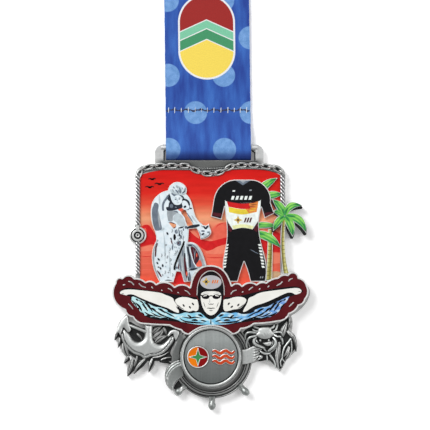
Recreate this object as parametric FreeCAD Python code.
import FreeCAD, Part
import math
import os

# Sports finisher medal: a die-cast base with a hanger bar, cast reliefs, applied plates with
# enamel and print, and a neck ribbon looped round the bar.
# Millimetres. The medal lies on its back: +Z leaves the face, +Y runs to the ribbon, and the
# origin is on the back face, in the middle of the medal's own outline.

V = FreeCAD.Vector

# Heights of the layers
BASE_TOP = 3.0              # face of the base casting
RECESS_FLOOR = 2.6          # floor of the recess that holds the sky print
SKY_TOP = 3.05              # the sky print stands 0.05 proud
PLATE_T = 1.2               # cyclist and race suit plates
PRINT_T = 0.12              # printed or enamelled skin on a plate
REAR_PALM_T = 0.8
FRONT_PALM_LOW = 4.0        # the front palm floats over the rear palm's crown
FRONT_PALM_T = 1.3
SWIMMER_FLOOR = 5.2         # floor of the swimmer plate's enamel cells
SWIMMER_TOP = 5.7           # top of its metal border
ENAMEL_T = 0.35
BORDER_W = 0.55             # width of the metal border round the enamel
CHORD_ERROR = 0.04          # how far an inset outline's straight runs may leave the curve
MEDALLION_FLOOR = 5.0
MEDALLION_TOP = 6.2

# Panel, hanger and its bar
PANEL_LEFT, PANEL_RIGHT = -28.7, 27.3
ROPE_R = 0.85
HANGER_LEFT, HANGER_RIGHT, HANGER_TOP = -22.8, 20.6, 53.8
SLOT_LEFT, SLOT_RIGHT, SLOT_LOW, SLOT_HIGH = -19.4, 17.4, 47.3, 51.3
BAR_R = 1.25
BAR_Y, BAR_Z = 52.55, 2.0

# Ribbon: one 34 mm strip sewn into a loop round the bar
RIBBON_LEFT, RIBBON_RIGHT = -18.4, 15.6
RIBBON_T = 0.4
RIBBON_BEND_Y = 49.3        # centre of the bend that hangs through the slot
RIBBON_BACK_Z, RIBBON_FRONT_Z = 0.35, 3.7
SEAM_Y = 67.6
STRAP_TOP = 1.25            # both sides of the loop, laid one on the other
HANK_START, HANK_LENGTH, HANK_TOP = 118.0, 97.0, 9.5

# Round parts
WHEEL_X, WHEEL_Y, WHEEL_R, WHEEL_HOLE_R = 0.0, -31.7, 16.0, 13.0
DISC_X, DISC_Y, DISC_R, FIELD_R = -0.4, -31.0, 12.3, 10.9
STUD_X, STUD_Y, STUD_R = -29.7, 17.5, 3.5

# Cast pins that locate each applied plate in blind holes of the base
PIN_R, PIN_HOLE_R, PIN_LENGTH, PIN_HOLE_DEPTH = 0.8, 0.85, 1.4, 1.6
SWIMMER_PINS = [(-26, -11), (0, -12), (26, -11)]
CYCLIST_PINS = [(-20, 26), (-18, 6)]
SUIT_PINS = [(12, 33), (17, 8)]
REAR_PALM_PINS = [(22.9, 10)]
FRONT_PALM_PINS = [(28.5, 9)]


def outline(start, *stretches):
    """Closed wire: a stretch of one point is a line, of two an arc, of more a smooth curve."""
    first = V(*start, 0)
    here = first
    edges = []
    for stretch in stretches:
        points = [V(x, y, 0) for x, y in stretch]
        if len(points) == 1:
            edges.append(Part.makeLine(here, points[0]))
        elif len(points) == 2:
            edges.append(Part.Arc(here, *points).toShape())
        else:
            curve = Part.BSplineCurve()
            curve.interpolate([here] + points)
            edges.append(curve.toShape())
        here = points[-1]
    if here.distanceToPoint(first) > 1e-6:
        edges.append(Part.makeLine(here, first))
    return Part.Wire(edges)


def smooth(*points):
    """Closed wire without corners."""
    curve = Part.BSplineCurve()
    curve.interpolate([V(x, y, 0) for x, y in points], PeriodicFlag=True)
    return Part.Wire(curve.toShape())


def circle(x, y, radius):
    return Part.Wire(Part.Circle(V(x, y, 0), V(0, 0, 1), radius).toShape())


def slab(wire, low, high):
    face = Part.Face(wire)
    face.translate(V(0, 0, low))
    return face.extrude(V(0, 0, high - low))


def inset_slab(wire, gap, low, high):
    """Slab whose outline lies gap inside the wire, in short straight runs."""
    corners = []
    for edge in wire.OrderedEdges:
        points = edge.discretize(Deflection=CHORD_ERROR)
        if edge.Orientation == "Reversed":
            points.reverse()
        corners += points[:-1]
    face = Part.Face(Part.makePolygon(corners + corners[:1])).makeOffset2D(-gap)
    face.translate(V(0, 0, low))
    return face.extrude(V(0, 0, high - low))


def block(x0, x1, y0, y1, z0, z1):
    return Part.makeBox(x1 - x0, y1 - y0, z1 - z0, V(x0, y0, z0))


def post(x, y, radius, low, high):
    return Part.makeCylinder(radius, high - low, V(x, y, low))


def rod(start, end, radius, z):
    """Round rod between two points at one height."""
    a, b = V(*start, z), V(*end, z)
    return Part.makeCylinder(radius, a.distanceToPoint(b), a, b - a)


def strut(start, end, half, low, high):
    """Flat bar with round ends between two points."""
    dx, dy = end[0] - start[0], end[1] - start[1]
    length = math.hypot(dx, dy)
    ux, uy = half * dx / length, half * dy / length
    wire = outline((start[0] - uy, start[1] + ux), [(end[0] - uy, end[1] + ux)],
                   [(end[0] + ux, end[1] + uy), (end[0] + uy, end[1] - ux)],
                   [(start[0] + uy, start[1] - ux)],
                   [(start[0] - ux, start[1] - uy), (start[0] - uy, start[1] + ux)])
    return slab(wire, low, high)


def fuse(solids):
    body = solids[0]
    if len(solids) > 1:
        body = body.multiFuse(solids[1:])
    return body.removeSplitter()


def pins(places):
    return [post(x, y, PIN_R, BASE_TOP - PIN_LENGTH, BASE_TOP + 0.2) for x, y in places]


def leaf(root, tip, width, bow, low, high, margin=0.0):
    """Pointed blade from root to tip, bowed sideways; margin shrinks it all round."""
    dx, dy = tip[0] - root[0], tip[1] - root[1]
    length = math.hypot(dx, dy)
    ux, uy = dx / length, dy / length
    half = width / 2 - margin

    def at(along, side):
        lift = bow * 4 * (along / length) * (1 - along / length)
        across = lift + side
        return root[0] + ux * along - uy * across, root[1] + uy * along + ux * across

    first, last = margin, length - 2 * margin
    quarter, middle, late = 0.25 * length, 0.5 * length, 0.8 * length
    wire = outline(at(first, 0.5 * half),
                   [at(quarter, half), at(middle, half), at(late, 0.55 * half), at(last, 0)],
                   [at(late, -0.55 * half), at(middle, -half), at(quarter, -half),
                    at(first, -0.5 * half)])
    return slab(wire, low, high)


# ------------------------------------------------------------------ outlines of the layers

PANEL_FRAME = outline((-30.6, -4), [(-30.6, 41)], [(-30, 43.6), (-26, 45.6)], [(-22.8, 46.2)],
                      [(20.6, 46.6)], [(24, 45.8)], [(28, 44.5), (29.3, 40.5)], [(29.3, 10)],
                      [(29.9, 5), (31, 1), (31, -4)])
SKY = outline((PANEL_LEFT, -3.5), [(PANEL_LEFT, 41.5)],
              [(-24, 42.9), (-16, 43.7), (-9, 43.7)],
              [(-7, 42.8), (-3, 41.3), (0, 41), (3, 41.6), (6, 43.2), (8, 43.9)],
              [(14, 43.9), (19, 43.9), (27.3, 41.5)], [(PANEL_RIGHT, -3.5)])
SWIMMER = outline((-38.6, -1.5), [(-37.4, 0.6), (-35.8, 0.5)], [(-33.7, 1.7), (-30.9, 0.4)],
                  [(-28.7, 0.2), (-26.5, -1.1)], [(-24.6, -0.6), (-22.3, -1.9)],
                  [(-19, -1.0), (-14.9, -3.0)], [(-11.4, -2.0), (-8.8, -3.2)],
                  [(-8, 0), (-5, 4.4), (-0.7, 5.6), (4, 4.2), (7.0, 0), (7.9, -2.4)],
                  [(10, -1.5), (12, -2.6)], [(14.8, -1.2), (17.8, -2.0)],
                  [(19.9, -1.0), (21.6, -1.3)], [(23.8, 0.1), (26.3, 0.7)],
                  [(28.3, 1.9), (30.2, 1.8)], [(32.4, 2.9), (34.6, 0.6)],
                  [(36.8, -0.5), (38, -2.8)], [(38.5, -5.2), (37.3, -8)],
                  [(36.6, -9.5), (34.6, -10.6)], [(33.2, -12.6), (30.9, -13.9)],
                  [(29.3, -16), (26.5, -16.9)], [(22, -17.6), (16.8, -17.9)],
                  [(14.5, -19.3), (11.6, -19.9)], [(9.8, -21.7), (6.5, -21.7)],
                  [(-7.5, -21.7)], [(-10.3, -22), (-12.4, -20.4)], [(-14.6, -19.7), (-17, -18.5)],
                  [(-22.3, -18.3), (-27.8, -17.9)], [(-30.2, -16.9), (-31.6, -15.2)],
                  [(-33.6, -14.4), (-34.8, -12.3)], [(-37.1, -11), (-38.6, -9.4)],
                  [(-39.8, -5.6), (-38.6, -1.5)])
BACKING_RIGHT = outline((30, -1), [(36, -1.5), (39.2, -4.5), (38.5, -8), (35, -12.5), (30, -15.5)])

CYCLIST = outline((-20.9, -1.2), [(-23.4, 4.5), (-24, 10), (-22.4, 15)],
                  [(-22.3, 17), (-23.6, 21), (-24.5, 26.7), (-23.7, 31), (-20.7, 34.3),
                   (-17.6, 35.4)],
                  [(-17, 37), (-14.3, 38.8), (-11.2, 37.8), (-10.4, 34)],
                  [(-8.3, 31), (-7.3, 27.3), (-4.2, 22.2)], [(-3.2, 21.5), (-1.2, 22.2)],
                  [(-0.9, 20.6), (-0.3, 19), (-1.2, 17.1), (-2.8, 16.2), (-4.6, 15.9)],
                  [(-5, 17.8), (-6.2, 20.3)],
                  [(-9.2, 20)], [(-9.6, 14.7)],
                  [(-7.2, 14.5), (-4.6, 12), (-2.4, 6), (-2.0, 4.8)],
                  [(-3.6, 4.9), (-6, 3.3), (-8.1, -0.9)], [(-11.2, -1.2)], [(-12.4, 3)],
                  [(-14.2, 3)], [(-15.4, -1.2)])
ARM_GAP = smooth((-11.3, 27.6), (-12.3, 26.6), (-10.9, 24.5), (-10.2, 22.4), (-8.3, 21.7),
                 (-8.4, 23), (-10, 26))
SUIT = outline((9, 39.7), [(15.7, 39.7)], [(20.5, 37.9), (23.2, 33.7), (23.4, 30.5)],
               [(24.9, 26.3)], [(21, 24.3)], [(19.7, 28.7)],
               [(18.7, 23), (19.5, 15), (21.3, 8), (21.3, -1)], [(15.3, -1)],
               [(14.3, 3), (12.8, 7)], [(11.4, 3), (10.3, -1)], [(7.2, -1)],
               [(4.3, 4.7), (4.9, 10), (6, 18), (5.5, 25), (5.1, 29)],
               [(3.8, 23.8)], [(-0.5, 25)], [(0.4, 30), (1.6, 34.7), (4.7, 38.2), (9, 39.7)])
REAR_TRUNK = outline((21.5, -0.8), [(22, 9), (22.4, 20)], [(24.3, 20)], [(24.2, 9), (24, -0.4)])
FRONT_TRUNK = outline((28.4, 2.1), [(27.7, 8), (27.4, 13), (27.5, 18), (28, 24.5)], [(29.4, 24.5)],
                      [(29.1, 17), (29.3, 11), (29.9, 6), (30.9, 2.1)])
ANCHOR_ARMS = outline((-36.6, -22), [(-35.2, -25.5), (-31, -29.6), (-26, -31.5), (-19.6, -29.6),
                                     (-16, -26), (-14.6, -23.2)],
                      [(-17, -22.4)],
                      [(-20.4, -26), (-23.8, -24.4), (-23.9, -18.2)], [(-26.8, -18.2)],
                      [(-27.2, -24.2), (-30.2, -25.3), (-33.3, -21.6)])
LEFT_FLUKE = outline((-34.4, -14.2), [(-36.4, -16.3), (-38.2, -21.7)], [(-36.6, -22.6)],
                     [(-35, -19.6)], [(-33.2, -21.6)], [(-32.2, -20.4)],
                     [(-33.2, -17), (-34.4, -14.2)])
RIGHT_FLUKE = outline((-12.9, -20.3), [(-15, -19.8), (-18.4, -21.8)], [(-16.6, -22.6)],
                      [(-14.4, -25.2)], [(-12.8, -23.4), (-12.9, -20.3)])
CRAB_SHELL = smooth((17.6, -21.2), (18.6, -19.5), (21, -18.9), (23.6, -19.5), (24.6, -21.2),
                    (23, -23.6), (21, -24.3), (19, -23.6))
BANNER_LEFT = outline((-12.2, -32.4), [(-16.4, -33.2), (-18.9, -38), (-16, -44.6)],
                      [(-15.9, -41), (-11.6, -38.2)])
BANNER_RIGHT = outline((11.6, -28.2), [(14, -27.9), (16.6, -26.2)], [(18.4, -29), (18.6, -31.8)],
                       [(15.6, -34), (11.6, -34.4)])
LEFT_CLUSTER = outline((-33, -14), [(-36.4, -16.3), (-38.2, -21.7)], [(-36.4, -26), (-32, -31)],
                       [(-27, -32.9), (-21.6, -33)], [(-16.4, -32.9)], [(-13, -30)],
                       [(-12, -16)])
RIGHT_CLUSTER = outline((31.3, -14.2), [(32.3, -17.5), (31.4, -20.4)],
                        [(33.5, -24), (34, -27.8), (31.4, -30.8), (28.9, -33.8), (27, -37)],
                        [(24.3, -34.1), (22.2, -32.7)], [(18.4, -33.1), (15.8, -33.9)],
                        [(12, -30)], [(12, -17)])

# Blades: root, tip, width, sideways bow
SEAWEED_LEAVES = [((-35, -21), (-38.8, -24.6), 2.2, 0.4), ((-34.6, -24), (-37, -27.8), 2.0, 0.3),
                  ((-31, -29), (-34.9, -34), 2.4, 0.5), ((-30, -31), (-33.8, -39.2), 2.4, -0.7),
                  ((-26.5, -31.5), (-31.4, -38), 2.2, -0.8), ((-24, -31), (-25.2, -37.2), 2.0, 0.8),
                  ((-21.6, -31), (-16, -33.7), 1.7, 0.5), ((-24, -26), (-19.4, -19.2), 2.0, -0.5),
                  ((-19, -28), (-16, -33.3), 2.2, -0.5), ((-29.5, -26), (-29, -19.4), 1.8, 0.4)]
KELP_STRANDS = [((28, -20), (31.8, -14.6), 2.0, 0.5), ((28.6, -24), (32.2, -18), 1.8, -0.5),
                ((28, -29.6), (33.6, -23.8), 1.8, -0.8), ((26.4, -31), (33.8, -28), 2.0, 0.8),
                ((29, -26), (27, -37.2), 2.2, 0.8), ((25, -27), (25.4, -35.2), 1.8, 0.5),
                ((22.6, -28), (22, -34.2), 1.6, -0.5), ((27.4, -21.6), (29.4, -31.6), 1.6, -0.8)]
FRONT_LEAVES = [((29, 25.3), (24.0, 31.9), 3.3, -0.8), ((29, 25.3), (36.4, 29.2), 3, 2.3),
                ((29, 25.3), (37.6, 18.3), 3.4, 2.3), ((29, 25.3), (32.2, 16.9), 3.2, 0.9),
                ((29, 25.3), (24.4, 19.2), 2.9, -0.6), ((29, 25.3), (24.4, 27.3), 2.6, -0.3)]
REAR_LEAVES = [((18.3, 34.6), (26.2, 40.4), 3.2, 0.55), ((20, 32.4), (28.4, 33.9), 3.2, 0.5),
               ((16.5, 21.2), (26.6, 21), 2.6, 0.5), ((17, 18.4), (27.6, 12.4), 3.4, 1.3)]
CRAB_LEGS = [((18.2, -20.4), (15, -19)), ((17.8, -21.6), (14.4, -21.4)), ((14.4, -21.4), (13.3, -23.6)),
             ((17.8, -22.6), (14.2, -24)), ((14.2, -24), (13.7, -27)), ((24, -20.2), (25.8, -18.4)),
             ((24.4, -21.2), (27, -21.3)), ((27, -21.3), (28.4, -22.9)), ((24.2, -22.4), (27.3, -23.4)),
             ((27.3, -23.4), (28.3, -25.6))]
CRAB_CLAWS = [[(18.4, -23), (16.6, -24.6), (17.2, -26.6), (19.8, -27.8)],
              [(23.6, -23), (25.6, -24.6), (25, -27), (22.4, -28.4)]]
CHAIN = [(-29, 42.4), (-27.6, 44), (-24, 45), (-20, 45.2), (-10, 45.2), (-6, 43.4), (-1, 42.2),
         (4, 42.8), (9, 45.2), (19, 45.4), (24, 44.4), (26.6, 43.8), (28, 42.2)]
WHEEL_HANDLE_ANGLES = [-135, -90, -45]


# ------------------------------------------------------------------------------ the casting

def wheel_handles(low, high):
    handles = []
    for angle in WHEEL_HANDLE_ANGLES:
        turn = math.radians(angle)
        ux, uy = math.cos(turn), math.sin(turn)
        wire = outline((WHEEL_X + 15.6 * ux + 1.3 * uy, WHEEL_Y + 15.6 * uy - 1.3 * ux),
                       [(WHEEL_X + 19.6 * ux + 1.1 * uy, WHEEL_Y + 19.6 * uy - 1.1 * ux)],
                       [(WHEEL_X + 20.8 * ux, WHEEL_Y + 20.8 * uy),
                        (WHEEL_X + 19.6 * ux - 1.1 * uy, WHEEL_Y + 19.6 * uy + 1.1 * ux)],
                       [(WHEEL_X + 15.6 * ux - 1.3 * uy, WHEEL_Y + 15.6 * uy + 1.3 * ux)])
        handles.append(slab(wire, low, high))
    return handles


def hanger():
    wire = outline((HANGER_LEFT, 44), [(HANGER_LEFT, 50)], [(-21.8, 52.9), (-18.8, HANGER_TOP)],
                   [(16.6, HANGER_TOP)], [(19.6, 52.9), (HANGER_RIGHT, 50)], [(HANGER_RIGHT, 44)])
    plate = slab(wire, 0, BASE_TOP)
    opening = block(SLOT_LEFT, SLOT_RIGHT, SLOT_LOW, HANGER_TOP + 1, -1, BASE_TOP + 1)
    bar = rod((SLOT_LEFT - 1, BAR_Y), (SLOT_RIGHT + 1, BAR_Y), BAR_R, BAR_Z)
    return plate.cut(opening).fuse(bar)


def base_casting():
    flat = [PANEL_FRAME, SWIMMER, BACKING_RIGHT, FRONT_TRUNK, ANCHOR_ARMS, LEFT_FLUKE, RIGHT_FLUKE,
            BANNER_LEFT, LEFT_CLUSTER, RIGHT_CLUSTER, circle(WHEEL_X, WHEEL_Y, WHEEL_R),
            circle(STUD_X, STUD_Y, STUD_R)]
    solids = [slab(wire, 0, BASE_TOP) for wire in flat]
    solids += wheel_handles(0, BASE_TOP)
    solids += [leaf(*blade, 0, BASE_TOP) for blade in SEAWEED_LEAVES + KELP_STRANDS]
    body = fuse(solids + [hanger()])
    body = body.cut(slab(SKY, RECESS_FLOOR, BASE_TOP + 1).cut(swimmer_body()))
    for x, y in SWIMMER_PINS + FRONT_PALM_PINS:
        body = body.cut(post(x, y, PIN_HOLE_R, BASE_TOP - PIN_HOLE_DEPTH, BASE_TOP + 1))
    for x, y in CYCLIST_PINS + SUIT_PINS + REAR_PALM_PINS:
        body = body.cut(post(x, y, PIN_HOLE_R, SKY_TOP - PIN_HOLE_DEPTH, BASE_TOP + 1))
    return body


def rope_border():
    half_round = block(-40, 40, -10, 60, BASE_TOP, BASE_TOP + 5)
    left = rod((-29.65, 2.5), (-29.65, 41.5), ROPE_R, BASE_TOP + 0.35)
    right = rod((28.3, 30), (28.3, 41), ROPE_R, BASE_TOP + 0.35)
    stud = post(STUD_X, STUD_Y, STUD_R + 0.05, BASE_TOP, BASE_TOP + 5)
    eye = post(STUD_X, STUD_Y + 3.6, 1.0, BASE_TOP, BASE_TOP + 5)
    return fuse([left, right]).common(half_round).cut(stud).cut(eye).cut(swimmer_body())


def chain_swag():
    tops = []
    for (x0, y0), (x1, y1) in zip(CHAIN, CHAIN[1:]):
        ux, uy = x1 - x0, y1 - y0
        length = math.hypot(ux, uy)
        nx, ny = -uy / length * 0.9, ux / length * 0.9
        wire = Part.makePolygon([V(x0 + nx, y0 + ny, 0), V(x1 + nx, y1 + ny, 0),
                                 V(x1 - nx, y1 - ny, 0), V(x0 - nx, y0 - ny, 0),
                                 V(x0 + nx, y0 + ny, 0)])
        tops.append(slab(wire, BASE_TOP, BASE_TOP + 1.2))
        tops.append(post(x0, y0, 0.9, BASE_TOP, BASE_TOP + 1.2))
    keep = slab(PANEL_FRAME, BASE_TOP, BASE_TOP + 2).cut(slab(SKY, 0, 9))
    return fuse(tops).common(keep).cut(rope_border())


def rope_pulley():
    washer = post(STUD_X, STUD_Y, STUD_R, BASE_TOP, BASE_TOP + 1.0)
    ring = post(STUD_X, STUD_Y, 2.6, BASE_TOP, BASE_TOP + 1.7)
    ring = ring.cut(post(STUD_X, STUD_Y, 1.9, BASE_TOP + 1.0, BASE_TOP + 2))
    hub = post(STUD_X, STUD_Y, 1.2, BASE_TOP, BASE_TOP + 1.9)
    eye = post(STUD_X, STUD_Y + 3.6, 1.0, BASE_TOP, BASE_TOP + 1.2)
    return fuse([washer, ring, hub, eye]).cut(slab(SKY, 0, 9))


def wheel_medallion():
    disc = post(DISC_X, DISC_Y, DISC_R, BASE_TOP, MEDALLION_TOP)
    return disc.cut(post(DISC_X, DISC_Y, FIELD_R, MEDALLION_FLOOR, MEDALLION_TOP + 1))


def medallion_emblem():
    """Enamelled compass star on the left of the field and three raised waves on its right."""
    star = post(-5.6, DISC_Y - 0.1, 4.4, MEDALLION_FLOOR, MEDALLION_FLOOR + 0.5)
    waves = []
    for row in range(3):
        y = DISC_Y + 1.6 - 2.0 * row
        wire = outline((0.2, y), [(2.4, y + 1.3), (4.6, y)], [(6.8, y - 1.2), (9, y)],
                       [(9, y + 0.9)], [(6.8, y - 0.3), (4.6, y + 0.9)],
                       [(2.4, y + 2.2), (0.2, y + 0.9)])
        waves.append(slab(wire, MEDALLION_FLOOR, MEDALLION_FLOOR + 0.5))
    return Part.makeCompound([star] + waves)


# ------------------------------------------------------------------------- the applied plates

def swimmer_body():
    return slab(SWIMMER, BASE_TOP, SWIMMER_TOP).cut(
        post(DISC_X, DISC_Y, DISC_R, 0, SWIMMER_TOP + 1))


def swimmer_cell():
    """Space inside the plate's metal border that the enamels share."""
    inner = inset_slab(SWIMMER, BORDER_W, SWIMMER_FLOOR, SWIMMER_TOP + 1)
    return inner.cut(post(DISC_X, DISC_Y, DISC_R + BORDER_W, 0, SWIMMER_TOP + 2))


def swimmer_plate(cell):
    return fuse([swimmer_body().cut(cell)] + pins(SWIMMER_PINS))


def swimmer_figure(low, high):
    """Black ground under the whole swimmer: arms, shoulders, head and water."""
    water = smooth((-32, -6.6), (-24, -5.6), (-14, -7.2), (0, -8.4), (14, -7.2), (24, -5.4),
                   (31, -5.6), (29, -10), (25, -14.2), (14, -17), (5, -18.2), (-0.4, -18.2),
                   (-6, -18.2), (-14, -17), (-26, -15), (-30, -11.4))
    arms = [outline((-37.3, -5.6), [(-35.5, -3.9), (-30, -3.8), (-22, -4.9), (-14, -6.2), (-6, -7.2)],
                    [(-6, -12.6)], [(-16, -13), (-24, -9.8), (-33, -6.8), (-37.3, -5.6)]),
            outline((36.4, -5), [(34.8, -3.3), (30, -3.1), (22, -4.2), (14, -6), (5, -7.2)],
                    [(5, -12.6)], [(15, -12.8), (24, -9), (33, -6.4), (36.4, -5)])]
    head = smooth((-5.3, -8), (-4.6, -0.6), (-0.5, 3.2), (3.8, -0.6), (4.4, -8), (3.4, -13),
                  (-0.5, -15.6), (-4.2, -13))
    return [slab(wire, low, high) for wire in [water, head] + arms]


def swimmer_skin(low, high):
    arms = [smooth((-36.7, -5.8), (-35.3, -4.4), (-30, -4.4), (-22, -5.4), (-16, -7.3),
                   (-15.2, -9.5), (-15.4, -12.2), (-22, -9.6), (-30, -6.4)),
            smooth((35.7, -5), (34.4, -3.8), (30, -3.7), (22, -4.8), (15, -6.9),
                   (14.4, -9), (14.8, -12), (22, -8.8), (30, -5.7))]
    shoulders = [smooth((-14.2, -8.6), (-11, -7.1), (-6, -8.1), (-5.7, -11.6), (-9, -12.6),
                        (-13, -11)),
                 smooth((13.6, -8.4), (10.4, -7), (5.3, -8), (5, -11.6), (8, -12.3), (12.2, -10.8))]
    face = smooth((-4.1, -6), (-0.5, -4.6), (3.2, -6), (3.2, -10), (1.6, -13.4), (-0.5, -14.4),
                  (-2.6, -13.4), (-4.1, -10))
    return [slab(wire, low, high) for wire in arms + shoulders + [face]]


def swimmer_water(low, high):
    left = smooth((-30, -7.4), (-22, -10.8), (-14, -13.8), (-6, -13.6), (-2.6, -15.8), (-1.2, -17.6),
                  (-8, -17.6), (-16, -15.9), (-26, -14))
    right = smooth((29, -6.8), (21, -10.4), (13, -13.6), (5, -13.6), (1.8, -15.8), (0.8, -17.6),
                   (7, -17.2), (15, -15.9), (24, -13.4))
    return [slab(wire, low, high) for wire in (left, right)]


def swimmer_enamels(cell):
    low, step = SWIMMER_FLOOR, ENAMEL_T / 2
    figure = fuse(swimmer_figure(low, low + 2))
    cell = cell.common(block(-60, 60, -60, 60, low, low + ENAMEL_T))
    black = cell.common(fuse(swimmer_figure(low, low + step)))
    upper = cell.common(figure).common(block(-60, 60, -60, 60, low + step, low + ENAMEL_T))
    patch = slab(smooth((-4.6, -1.1), (-0.5, 1.6), (3.6, -1.1), (-0.5, -3.8)), low + step,
                 low + ENAMEL_T)
    return {"enamel_maroon": cell.cut(figure),
            "enamel_black": black,
            "enamel_skin": upper.common(Part.makeCompound(swimmer_skin(low, low + 2))),
            "enamel_water": upper.common(Part.makeCompound(swimmer_water(low, low + 2))),
            "enamel_cap_patch": patch}


def plate_pair(wire, holes, places):
    """Metal plate on the sky print and the printed skin on its face."""
    low, high = SKY_TOP, SKY_TOP + PLATE_T
    plate = slab(wire, low, high)
    skin = inset_slab(wire, 0.3, high, high + PRINT_T)
    for hole in holes:
        plate = plate.cut(slab(hole, low, high))
        skin = skin.cut(slab(hole, high, high + PRINT_T))
    keep_clear = swimmer_body()
    plate = plate.cut(keep_clear)
    pegs = [post(x, y, PIN_R, SKY_TOP - PIN_LENGTH, low + 0.2) for x, y in places]
    return fuse([plate] + pegs), skin.cut(keep_clear)


def palm_rear():
    low, high = SKY_TOP, SKY_TOP + REAR_PALM_T
    clear = swimmer_body().fuse(slab(SUIT, 0, 9))
    clear = clear.fuse(block(PANEL_RIGHT - 0.05, 60, -60, 60, 0, 9))
    trunk = slab(REAR_TRUNK, low, high)
    crown = fuse([trunk] + [leaf(*blade, low, high) for blade in REAR_LEAVES]).cut(clear)
    enamel = [leaf(*blade, high, high + PRINT_T, 0.25) for blade in REAR_LEAVES]
    enamel.append(inset_slab(REAR_TRUNK, 0.25, high, high + PRINT_T))
    pegs = [post(x, y, PIN_R, SKY_TOP - PIN_LENGTH, low + 0.2) for x, y in REAR_PALM_PINS]
    return fuse([crown] + pegs), fuse(enamel).cut(clear)


def palm_front():
    low, high = FRONT_PALM_LOW, FRONT_PALM_LOW + FRONT_PALM_T
    foot = slab(FRONT_TRUNK, BASE_TOP, high).cut(swimmer_body())
    blades = [leaf(*blade, low, high) for blade in FRONT_LEAVES]
    crown = post(29, 25.3, 1.4, low, high)
    plate = fuse([foot, crown] + blades + pins(FRONT_PALM_PINS)).cut(rope_border())
    enamel = [leaf(*blade, high, high + PRINT_T, 0.25) for blade in FRONT_LEAVES]
    enamel.append(inset_slab(FRONT_TRUNK, 0.25, high, high + PRINT_T).cut(swimmer_body()))
    return plate, fuse(enamel)


# ------------------------------------------------------------------------------- the reliefs

def anchor():
    solids = [slab(wire, BASE_TOP, BASE_TOP + 2.2) for wire in (ANCHOR_ARMS, LEFT_FLUKE, RIGHT_FLUKE)]
    stock = rod((-33.4, -18.7), (-26, -21.2), 0.7, BASE_TOP + 0.9)
    return fuse(solids + [stock]).cut(swimmer_body())


def crab():
    solids = [slab(CRAB_SHELL, BASE_TOP, BASE_TOP + 2.4)]
    solids += [strut(start, end, 0.5, BASE_TOP, BASE_TOP + 1.4) for start, end in CRAB_LEGS]
    for route in CRAB_CLAWS:
        solids += [strut(start, end, 0.8, BASE_TOP, BASE_TOP + 1.7)
                   for start, end in zip(route, route[1:])]
    return fuse(solids).cut(swimmer_body())


def scroll_banner():
    solids = [slab(BANNER_LEFT, BASE_TOP, BASE_TOP + 1.8), slab(BANNER_RIGHT, BASE_TOP, BASE_TOP + 1.8)]
    clear = fuse([post(DISC_X, DISC_Y, DISC_R, 0, 9), crab()])
    return Part.makeCompound([solid.cut(clear) for solid in solids])


def ship_wheel(clear):
    ring = post(WHEEL_X, WHEEL_Y, WHEEL_R, BASE_TOP, BASE_TOP + 1.2)
    groove = post(WHEEL_X, WHEEL_Y, 14.6, BASE_TOP + 0.8, BASE_TOP + 2)
    groove = groove.cut(post(WHEEL_X, WHEEL_Y, 14.1, BASE_TOP + 0.8, BASE_TOP + 2))
    hole = post(WHEEL_X, WHEEL_Y, WHEEL_HOLE_R, BASE_TOP, BASE_TOP + 2)
    return fuse([ring] + wheel_handles(BASE_TOP, BASE_TOP + 1.6)).cut(hole).cut(groove).cut(clear)


def seaweed_left(clear):
    blades = [leaf(*blade, BASE_TOP, BASE_TOP + 1.1) for blade in SEAWEED_LEAVES]
    return fuse(blades).cut(clear)


def kelp_right(clear):
    strands = [leaf(*blade, BASE_TOP, BASE_TOP + 1.3) for blade in KELP_STRANDS]
    return fuse(strands).cut(clear)


# -------------------------------------------------------------------------------- the ribbon

def neck_ribbon():
    """Loop round the bar, the two sides laid together, and the spare length folded in a hank."""
    half = RIBBON_T / 2
    bend_z = (RIBBON_BACK_Z + RIBBON_FRONT_Z) / 2
    bend_r = (RIBBON_FRONT_Z - RIBBON_BACK_Z) / 2

    def side(offset):
        low, high = RIBBON_BACK_Z - offset, RIBBON_FRONT_Z + offset
        return low, high, V(0, RIBBON_BEND_Y - bend_r - offset, bend_z)

    outer_low, outer_high, outer_tip = side(half)
    inner_low, inner_high, inner_tip = side(-half)
    edges = [
        Part.makeLine(V(0, SEAM_Y, outer_low), V(0, RIBBON_BEND_Y, outer_low)),
        Part.Arc(V(0, RIBBON_BEND_Y, outer_low), outer_tip, V(0, RIBBON_BEND_Y, outer_high)).toShape(),
        Part.makeLine(V(0, RIBBON_BEND_Y, outer_high), V(0, BAR_Y + 1, outer_high)),
        Part.makeLine(V(0, BAR_Y + 1, outer_high), V(0, SEAM_Y, STRAP_TOP)),
        Part.makeLine(V(0, SEAM_Y, STRAP_TOP), V(0, SEAM_Y, outer_low))]
    inner = [
        Part.makeLine(V(0, SEAM_Y - 3, inner_low), V(0, RIBBON_BEND_Y, inner_low)),
        Part.Arc(V(0, RIBBON_BEND_Y, inner_low), inner_tip, V(0, RIBBON_BEND_Y, inner_high)).toShape(),
        Part.makeLine(V(0, RIBBON_BEND_Y, inner_high), V(0, BAR_Y + 1, inner_high)),
        Part.makeLine(V(0, BAR_Y + 1, inner_high), V(0, SEAM_Y - 3, inner_low))]
    width = V(RIBBON_RIGHT - RIBBON_LEFT, 0, 0)
    loop = Part.Face(Part.Wire(edges)).extrude(width).cut(Part.Face(Part.Wire(inner)).extrude(width))
    loop.translate(V(RIBBON_LEFT, 0, 0))
    strap = block(RIBBON_LEFT, RIBBON_RIGHT, SEAM_Y, HANK_START + 5, outer_low, STRAP_TOP)
    hank = block(RIBBON_LEFT, RIBBON_RIGHT, HANK_START, HANK_START + HANK_LENGTH, outer_low, HANK_TOP)
    ends = [edge for edge in hank.Edges
            if abs(edge.Vertexes[0].Point.z - HANK_TOP) < 1e-6 and edge.BoundBox.XLength > 1]
    return fuse([loop, strap, hank.makeFillet(3.0, ends)])


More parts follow.
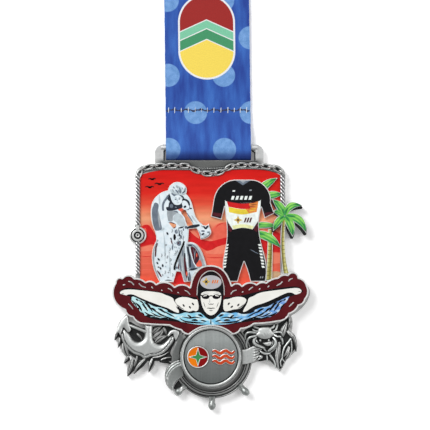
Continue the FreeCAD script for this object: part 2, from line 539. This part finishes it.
def seam_stitching():
    """Row of thread ticks across the ribbon where its end is sewn down."""
    ticks = []
    count = 22
    for i in range(count):
        x = RIBBON_LEFT + 1.2 + (RIBBON_RIGHT - RIBBON_LEFT - 2.4) * i / (count - 1)
        ticks.append(block(x - 0.5, x + 0.5, SEAM_Y + 0.2, SEAM_Y + 0.5, STRAP_TOP, STRAP_TOP + 0.12))
    return Part.makeCompound(ticks)


def build():
    cell = swimmer_cell()
    nodes = {"base_casting": base_casting(),
             "rope_border": rope_border(),
             "chain_swag": chain_swag(),
             "rope_pulley": rope_pulley(),
             "sky_print": slab(SKY, RECESS_FLOOR, SKY_TOP).cut(swimmer_body()),
             "swimmer_plate": swimmer_plate(cell),
             "wheel_medallion": wheel_medallion(),
             "medallion_emblem": medallion_emblem(),
             "anchor": anchor(),
             "crab": crab(),
             "scroll_banner": scroll_banner()}
    nodes.update(swimmer_enamels(cell))
    nodes["cyclist_plate"], nodes["cyclist_print"] = plate_pair(CYCLIST, [ARM_GAP], CYCLIST_PINS)
    nodes["race_suit_plate"], nodes["race_suit_print"] = plate_pair(SUIT, [], SUIT_PINS)
    nodes["palm_rear"], nodes["palm_rear_enamel"] = palm_rear()
    nodes["palm_front"], nodes["palm_front_enamel"] = palm_front()
    for x, y in CYCLIST_PINS + SUIT_PINS + REAR_PALM_PINS:
        nodes["sky_print"] = nodes["sky_print"].cut(post(x, y, PIN_HOLE_R, 0, 9))
    taken = fuse([swimmer_body(), nodes["wheel_medallion"], nodes["anchor"], nodes["crab"]]
                 + nodes["scroll_banner"].Solids)
    nodes["ship_wheel"] = ship_wheel(taken)
    taken = fuse([taken, nodes["ship_wheel"]])
    nodes["seaweed_left"] = seaweed_left(taken)
    nodes["kelp_right"] = kelp_right(taken)
    nodes["neck_ribbon"] = neck_ribbon()
    nodes["seam_stitching"] = seam_stitching()
    return nodes


os.makedirs("parts", exist_ok=True)
for name, shape in build().items():
    shape.exportStep("parts/" + name + ".step")
    print(name, "solids", len(shape.Solids), "valid", shape.isValid(), "volume", round(shape.Volume, 2))
